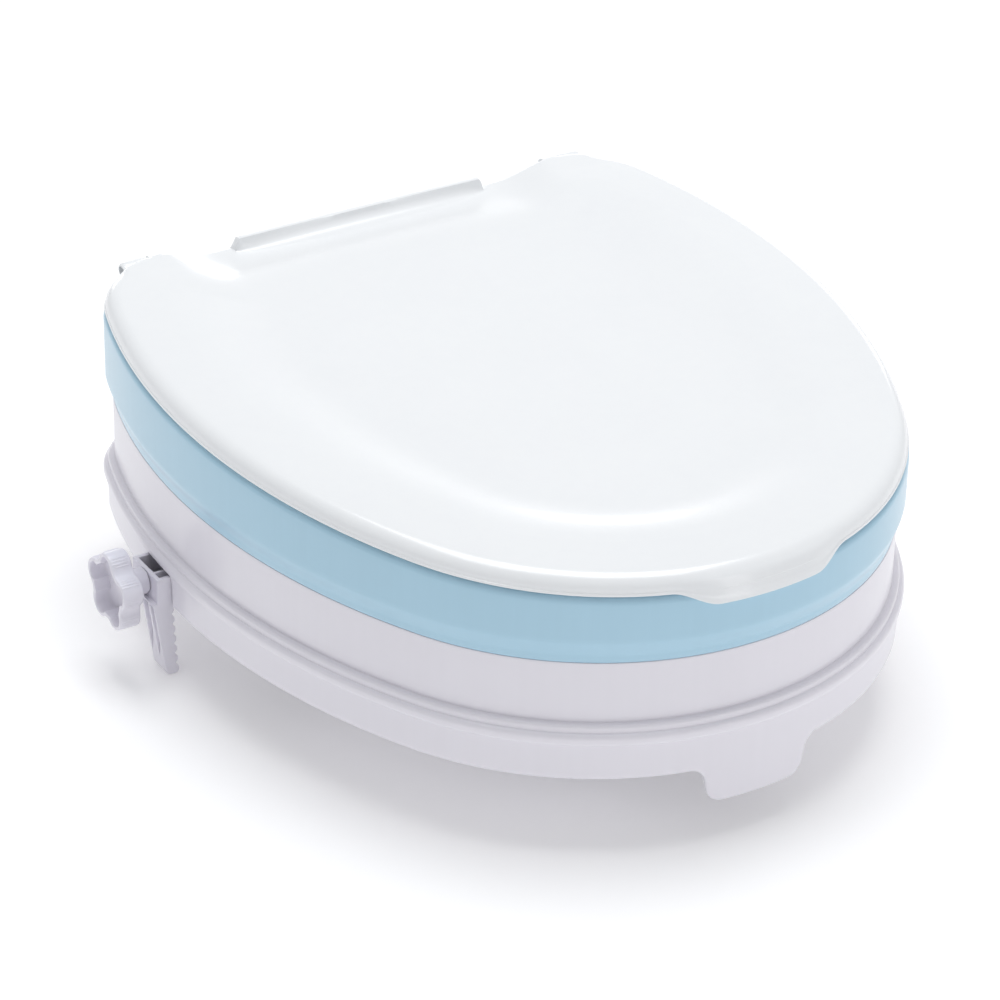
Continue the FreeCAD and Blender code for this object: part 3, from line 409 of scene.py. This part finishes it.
def make_lid():
    """The lid as two skins that share their lower edge: rim and top, and underside."""
    rear_x = [UPSTAND_HALF - 0.1, UPSTAND_HALF + 1.2, UPSTAND_HALF + 2.5, 115.4, 117.2,
              POST_GAP[0] - 0.2, POST_GAP[0] + 0.2, POST_GAP[1] - 0.2, POST_GAP[1] + 0.2]
    steps = even_steps(2.2, plan.half, [plan.reach_x(x) for x in rear_x])

    def lip(s):
        return smooth((LIP_HALF - abs(s)) / LIP_FADE)

    def spot(s, inset, grow=0.0, height=LID_TOP):
        """Where the lid's point at s lies in plan, drawn in along the rear."""
        edge_x, edge_y = plan.point(s, 0)
        x, y = plan.point(s, grow - inset)
        return x, drawn_in(y, edge_y, rear_edge(edge_x, height)) if y > REAR else y

    def tight(s):
        """How far the rim's rounding reaches in: less along the rear edge, which covers the hinges."""
        x, y = plan.point(s, 0)
        return 1 - 0.5 * (1 - smooth((abs(x) - KNUCKLE[1]) / 8)) if y > REAR else 1

    def rim_row(full_inset, height):
        """A row round the rim. In a hinge's gap, the rim's foot is stretched up to the hood."""
        row = []
        for s in steps:
            hang = lip(s)
            inset = full_inset * tight(s)
            edge_x, edge_y = plan.point(s, 0)
            at_gap = in_gap(edge_x) and edge_y > REAR
            if at_gap:
                level = height * HOOD * 0.99 / RIM_FOOT if height <= RIM_FOOT else HOOD
            else:
                level = height
            x, y = spot(s, inset, LIP_FLARE * hang * max(0, 1 - height / 8) ** 1.4, level)
            if height > RIM_FOOT:
                low = HOOD if at_gap else RIM_FOOT
                share = (height - RIM_FOOT) / (LID_TOP - RIM_FOOT)
                level = low + share * (lid_height(x, y, inset) - low)
            row.append((x, y, lid_z(y) + level - LIP_DROP * hang * max(0, 1 - height / 5)))
        return row

    def top_row(share):
        """A row on the border, from the rim's rounding to an inset of 33 mm."""
        row = []
        for s in steps:
            inset = mix((RIM_RADIUS + 0.6) * tight(s), 33, share)
            x, y = spot(s, inset)
            row.append((x, y, lid_z(y) + lid_height(x, y, inset)))
        return row

    def inward_row(share, heights):
        """A row that shrinks from an inset of 40 mm to a short line in the middle."""
        row = []
        for s in steps:
            x, y = plan.point(s, -40)
            x, y = x * (1 - share), mix(y, 0.3 * y, share)
            row.append((x, y, lid_z(y) + heights(x, y, 40 + 130 * share)))
        return row

    def under_row(inset, height=None, out=0.8, drop=0.0):
        """A row of the underside, no higher than height. At the lip it is moved out and down."""
        row = []
        for s in steps:
            x, y = spot(s, inset, out * lip(s), 0)
            rise = under_height(x, y, inset)
            row.append((x, y, lid_z(y) + (rise if height is None else min(height, rise)) - drop * lip(s)))
        return row

    rows = [rim_row(*p) for p in [(1.0, 0), (0.35, 0), (0.08, 0.12), (0, 0.4), (0, 1.0), (0.1, 1.3),
                                  (0.5, 1.55), (0.62, RIM_FOOT)]]
    rows += [rim_row(RIM_RADIUS + 0.6 - RIM_RADIUS * math.cos(a), 2.0 + RIM_RADIUS * math.sin(a))
             for a in (math.radians(d) for d in range(4, 91, 8))]
    rows += [top_row(i / 34) for i in range(1, 35)] + [inward_row(0, lid_height)]
    shares = [0.03, 0.06, 0.1, 0.14, 0.18, 0.22, 0.26, 0.3, 0.34, 0.4, 0.5, 0.64, 0.78, 0.9, 1]
    rows += [inward_row(f, lid_height) for f in shares]
    bm = bmesh.new()
    add_skin(bm, rows, looped=False)
    below = [under_row(1.0, 0, LIP_FLARE, LIP_DROP), under_row(2.4, 0, LIP_FLARE, LIP_DROP),
             under_row(2.5, 0.4, LIP_FLARE), under_row(4, 1.5), under_row(4.4)]
    below += [under_row(d) for d in (8, 14, 20, 26, 30, 33, 36, 40)]
    below += [inward_row(f, under_height) for f in shares]
    add_skin(bm, below, looped=False)
    return finish_mesh(bm, "lid_shell")


def make_knuckle(side):
    """The lid's hinge knuckle, a rounded barrel with a web that runs forward into the lid."""
    x_low, x_high = KNUCKLE
    bore = 2.55
    profile = [(x_low, 3.9), (x_low + 0.5, 4.4), (x_high - 3.5, 4.4), (x_high - 1.2, 4.1), (x_high, 3.2)]
    turns = [math.tau * i / 40 for i in range(40)]

    def ring(x, radius):
        row = []
        for a in turns:
            y, z = radius * math.cos(a), radius * math.sin(a)
            if y < 0:                                   # the web: drawn forward into the lid
                y -= 4.5 * smooth(-y / radius)
                z = z * (1 - 0.35 * smooth(-y / 9)) - smooth(-y / 9)
            row.append((side * x, HINGE_Y + y, HINGE_Z + z))
        return row

    rows = [ring(x_low, bore)] + [ring(x, r) for x, r in profile] + [ring(x_high, bore)]
    return skin("lid_knuckle_" + ("right" if side > 0 else "left"), rows)


# ---- clamps ---------------------------------------------------------------------------------------

LOBE_OUT, LOBE_RADIUS = 13.5, 8          # centre and radius of a lobe
VALLEY_OUT, VALLEY_RADIUS = 24, 7.3      # centre and radius of the hollow between two lobes
BODY_RADIUS, CUP_RADIUS = 18.2, 14.5     # outside and inside, where neither of them reaches


def lobe_reach(turn, grow):
    """Distance from the knob's axis to its lobed edge, offset by grow, and degrees from the lobe's middle."""
    fifth = math.tau / 5
    phi = (turn + fifth / 2) % fifth - fifth / 2
    across = LOBE_OUT * math.sin(phi)
    radius = LOBE_RADIUS + grow
    lobe = LOBE_OUT * math.cos(phi) + math.sqrt(max(0, radius ** 2 - across ** 2))
    if grow <= -2:                       # the cup's inside
        return (max(lobe, CUP_RADIUS) if abs(across) < radius else CUP_RADIUS), math.degrees(phi)
    reach = max(lobe, BODY_RADIUS + grow)
    psi = fifth / 2 - abs(phi)
    valley, aside = VALLEY_RADIUS - grow, VALLEY_OUT * math.sin(psi)
    if aside < valley:
        reach = min(reach, VALLEY_OUT * math.cos(psi) - math.sqrt(valley ** 2 - aside ** 2))
    return reach, math.degrees(phi)


def make_knob(side):
    """The knob: a five-lobed open cup with grip ridges, a bored hub in it and a neck behind."""
    turns = [math.tau * i / 480 for i in range(480)]

    def ring(x, grow, ridges=0.0):
        row = []
        for a in turns:
            reach, phi = lobe_reach(a, grow)
            for ridge in (12, 16, 20, 24):
                reach += ridges * 0.45 * math.exp(-((abs(phi) - ridge) / 0.9) ** 2)
            row.append((side * x, CLAMP_Y + reach * math.sin(a), SCREW_Z + reach * math.cos(a)))
        return row

    def circle(x, radius):
        return [(side * x, CLAMP_Y + radius * math.sin(a), SCREW_Z + radius * math.cos(a)) for a in turns]

    face = KNOB_FACE
    rows = [ring(face - 0.1, -1.7), ring(face, -1.2), ring(face, -0.7), ring(face - 0.25, -0.2)]
    rows += [ring(face - 0.9, 0)] + [ring(face - back, 0, ridges=1) for back in (1.6, 5, 9.4)]
    rows += [ring(face - back, grow) for back, grow in ((10.4, 0), (11.4, -0.25), (11.9, -0.9), (12, -1.9))]
    rows += [circle(face - back, radius) for back, radius in
             ((12, 12), (12, 8.6), (12.4, 7.6), (13.2, 7.25), (21, 7.25), (22, 6.6),       # back and neck
              (22, 3.1), (12, 3.1), (9.6, 3.1), (9.2, 4.0), (9, 8), (9, 12))]              # bore, cup's floor
    rows += [ring(face - back, grow) for back, grow in
             ((8.9, -3.2), (8.2, -2.4), (5, -2.2), (1, -2.2), (0.4, -2.05))]
    return skin("knob_cup_" + ("right" if side > 0 else "left"), rows, crease=50)


def bevelled_copy(node, name, width):
    """The CAD node's mesh in a new object, cleaned to large faces, with its edges rounded."""
    bm = bmesh.new()
    bm.from_mesh(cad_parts[node].data)
    bmesh.ops.remove_doubles(bm, verts=bm.verts, dist=1e-5)
    bmesh.ops.dissolve_limit(bm, angle_limit=math.radians(1), verts=bm.verts, edges=bm.edges)
    sharp = [e for e in bm.edges if len(e.link_faces) == 2 and e.calc_face_angle(0) > math.radians(30)]
    bmesh.ops.bevel(bm, geom=sharp, offset=width / 1000, segments=2, profile=0.6, affect="EDGES",
                    clamp_overlap=True)
    return finish_mesh(bm, name, crease=42)


# ---- materials ------------------------------------------------------------------------------------

def plastic(name, colour, shade, rough, grain=0.02, coat=0.3, grain_size=900):
    """Moulded plastic: a faint mottle in colour and gloss, flow streaks, and a fine moulded grain."""
    material = bpy.data.materials.new(name)
    material.use_nodes = True
    tree = material.node_tree
    shader = tree.nodes["Principled BSDF"]

    def node(kind, **settings):
        made = tree.nodes.new(kind)
        for key, value in settings.items():
            if key in made.inputs:
                made.inputs[key].default_value = value
            else:
                setattr(made, key, value)
        return made

    where = node("ShaderNodeTexCoord")
    mottle = node("ShaderNodeTexNoise", Scale=14.0, Detail=4.0, Roughness=0.6)
    streak_map = node("ShaderNodeMapping")
    streak_map.inputs["Scale"].default_value = (170, 170, 3)
    streaks = node("ShaderNodeTexNoise", Scale=1.0, Detail=3.0, Roughness=0.55)
    fine = node("ShaderNodeTexNoise", Scale=float(grain_size), Detail=2.0, Roughness=0.5)
    blend = node("ShaderNodeMix", data_type="FLOAT", Factor=0.45)
    ramp = node("ShaderNodeValToRGB")
    ramp.color_ramp.interpolation = "EASE"
    ramp.color_ramp.elements[0].position, ramp.color_ramp.elements[1].position = 0.2, 0.8
    ramp.color_ramp.elements[0].color = (*shade, 1)
    ramp.color_ramp.elements[1].color = (*colour, 1)
    gloss = node("ShaderNodeMapRange")
    gloss.inputs["To Min"].default_value, gloss.inputs["To Max"].default_value = rough * 0.88, rough * 1.15
    height = node("ShaderNodeMath", operation="ADD")
    soft = node("ShaderNodeMath", operation="MULTIPLY")
    soft.inputs[1].default_value = 0.25
    waves = node("ShaderNodeMath", operation="MULTIPLY")
    waves.inputs[1].default_value = 1.5
    bump = node("ShaderNodeBump", Strength=grain, Distance=0.0004)
    link = tree.links.new
    for texture in (mottle, fine):
        link(where.outputs["Object"], texture.inputs["Vector"])
    link(where.outputs["Object"], streak_map.inputs["Vector"])
    link(streak_map.outputs["Vector"], streaks.inputs["Vector"])
    link(mottle.outputs["Fac"], blend.inputs[2])
    link(streaks.outputs["Fac"], blend.inputs[3])
    link(blend.outputs[0], ramp.inputs["Fac"])
    link(ramp.outputs["Color"], shader.inputs["Base Color"])
    link(mottle.outputs["Fac"], gloss.inputs["Value"])
    link(gloss.outputs["Result"], shader.inputs["Roughness"])
    link(streaks.outputs["Fac"], waves.inputs[0])
    link(fine.outputs["Fac"], soft.inputs[0])
    link(soft.outputs["Value"], height.inputs[0])
    link(waves.outputs["Value"], height.inputs[1])
    link(height.outputs["Value"], bump.inputs["Height"])
    link(bump.outputs["Normal"], shader.inputs["Normal"])
    shader.inputs["Coat Weight"].default_value = coat
    shader.inputs["Coat Roughness"].default_value = 0.08
    return material


def steel(name):
    """Bright zinc-plated steel with turning marks and a little clouding."""
    material = plastic(name, (0.66, 0.66, 0.68), (0.5, 0.5, 0.51), 0.3, grain=0.12, coat=0.0, grain_size=1600)
    material.node_tree.nodes["Principled BSDF"].inputs["Metallic"].default_value = 1.0
    return material


FINISH = {
    "white_body": plastic("white_body_plastic", (0.845, 0.825, 0.88), (0.825, 0.805, 0.86), 0.33, grain=0.03),
    "white_lid": plastic("white_lid_plastic", (0.90, 0.92, 0.93), (0.88, 0.90, 0.915), 0.3,
                         grain=0.03, coat=0.5),
    "blue_ring": plastic("blue_ring_plastic", (0.44, 0.675, 0.82), (0.42, 0.65, 0.79), 0.3, grain=0.03),
    "grey_clamp": plastic("grey_clamp_plastic", (0.82, 0.80, 0.87), (0.79, 0.77, 0.84), 0.34, grain=0.05),
    "grey_rubber": plastic("grey_rubber", (0.085, 0.085, 0.095), (0.06, 0.06, 0.068), 0.7,
                           grain=0.3, coat=0.0),
    "steel": steel("zinc_plated_steel"),
}

# ---- pieces on their bodies ------------------------------------------------------------------------


def wear(piece, body, nodes, slot):
    """Puts a new piece on its body, in place of its CAD nodes, with its slot's finish."""
    piece.data.materials.clear()
    piece.data.materials.append(FINISH[slot])
    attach(piece, body)
    if nodes:
        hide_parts(*nodes)


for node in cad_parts.values():
    for spot in node.material_slots:
        wanted = spot.material.name.split(".")[0] if spot.material else ""
        spot.material = FINISH.get(wanted, spot.material)

wear(make_riser(), "riser", ["riser_body"], "white_body")
wear(make_ring(), "riser", ["seat_ring"], "blue_ring")
wear(make_lid(), "lid", ["lid"], "white_lid")
for sign, hand in ((-1, "left"), (1, "right")):
    wear(make_knuckle(sign), "lid", [], "white_lid")
    wear(make_knob(sign), "knob_" + hand, ["knob_" + hand], "grey_clamp")
    jaw = bevelled_copy("jaw_" + hand, "jaw_shell_" + hand, 0.45)
    wear(jaw, "jaw_" + hand, ["jaw_" + hand], "grey_clamp")

# ---- floor, light and camera ----------------------------------------------------------------------

def make_floor():
    """A wide pale floor, faintly lit from within, as a light table is."""
    bm = bmesh.new()
    bmesh.ops.create_grid(bm, x_segments=4, y_segments=4, size=6)
    obj = finish_mesh(bm, "floor")
    obj.location.z = -0.0005
    pale = plastic("pale_floor", (0.985, 0.985, 0.985), (0.975, 0.975, 0.975), 0.85, coat=0.0)
    shader = pale.node_tree.nodes["Principled BSDF"]
    shader.inputs["Emission Color"].default_value = (1, 1, 1, 1)
    shader.inputs["Emission Strength"].default_value = 0.14
    obj.data.materials.append(pale)
    return obj


floor = make_floor()


def soft_light(name, stand, aim, size, power, colour):
    """A rectangular area light at stand, turned towards aim. Metres and watts."""
    lamp = bpy.data.lights.new(name, "AREA")
    lamp.shape, lamp.size, lamp.size_y, lamp.energy, lamp.color = "RECTANGLE", *size, power, colour
    holder = bpy.data.objects.new(name, lamp)
    holder.location = stand
    holder.rotation_euler = (Vector(aim) - Vector(stand)).to_track_quat("-Z", "Y").to_euler()
    bpy.context.scene.collection.objects.link(holder)


soft_light("overhead", (0.15, 0.25, 2.4), (0, 0, 0.1), (1.7, 1.5), 32, (0.99, 0.995, 1))
soft_light("backdrop", (1.7, 2.9, 0.62), (0, 0, 0.15), (3.6, 0.8), 20, (1, 1, 1))
soft_light("front", (0.7, -2.3, 0.8), (0, 0, 0.1), (0.4, 1.6), 4, (1, 0.98, 0.99))

world = bpy.data.worlds.new("studio")
world.use_nodes = True
world.node_tree.nodes["Background"].inputs["Color"].default_value = (0.97, 0.975, 1, 1)
world.node_tree.nodes["Background"].inputs["Strength"].default_value = 0.5
bpy.context.scene.world = world
bpy.context.scene.view_settings.view_transform = "Standard"

CAMERA_STAND = Vector((-0.98285, -1.53638, 1.15040))
CAMERA_AIM = Vector((-0.02601, -0.00089, 0.09))
CAMERA_ROLL = 1.2492                           # degrees
camera_data = bpy.data.cameras.new("camera")
camera_data.lens, camera_data.sensor_width = 146.29, 36
camera = bpy.data.objects.new("camera", camera_data)
look = (CAMERA_AIM - CAMERA_STAND).to_track_quat("-Z", "Y").to_matrix().to_4x4()
roll = Matrix.Rotation(math.radians(CAMERA_ROLL), 4, "Z")
camera.matrix_world = Matrix.Translation(CAMERA_STAND) @ look @ roll
bpy.context.scene.collection.objects.link(camera)
bpy.context.scene.camera = camera
